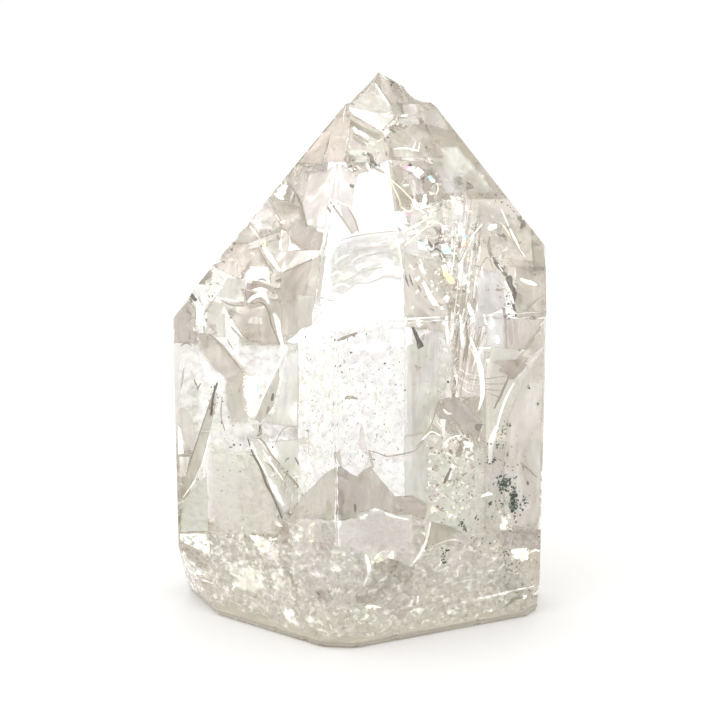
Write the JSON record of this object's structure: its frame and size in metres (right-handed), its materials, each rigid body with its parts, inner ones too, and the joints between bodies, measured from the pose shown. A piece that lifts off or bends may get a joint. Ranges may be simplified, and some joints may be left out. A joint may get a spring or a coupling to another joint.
{
  "type": "clear quartz rainbow point",
  "caption": "Polished six-sided point of clear quartz with rainbow fractures, veils and green grains, standing on its flat sawn foot.",
  "frame": {"origin": "on the floor under the middle of the outline", "axes": "+Z from the sawn foot up to the tip, -Y towards the front edge that the picture shows, +X to its right"},
  "size_m": [0.0486, 0.0406, 0.0703],
  "materials": {
    "quartz": "polished clear quartz with fracture veils inside"
  },
  "bodies": {
    "root": {"quartz_point": "quartz"}
  },
  "joints": []
}
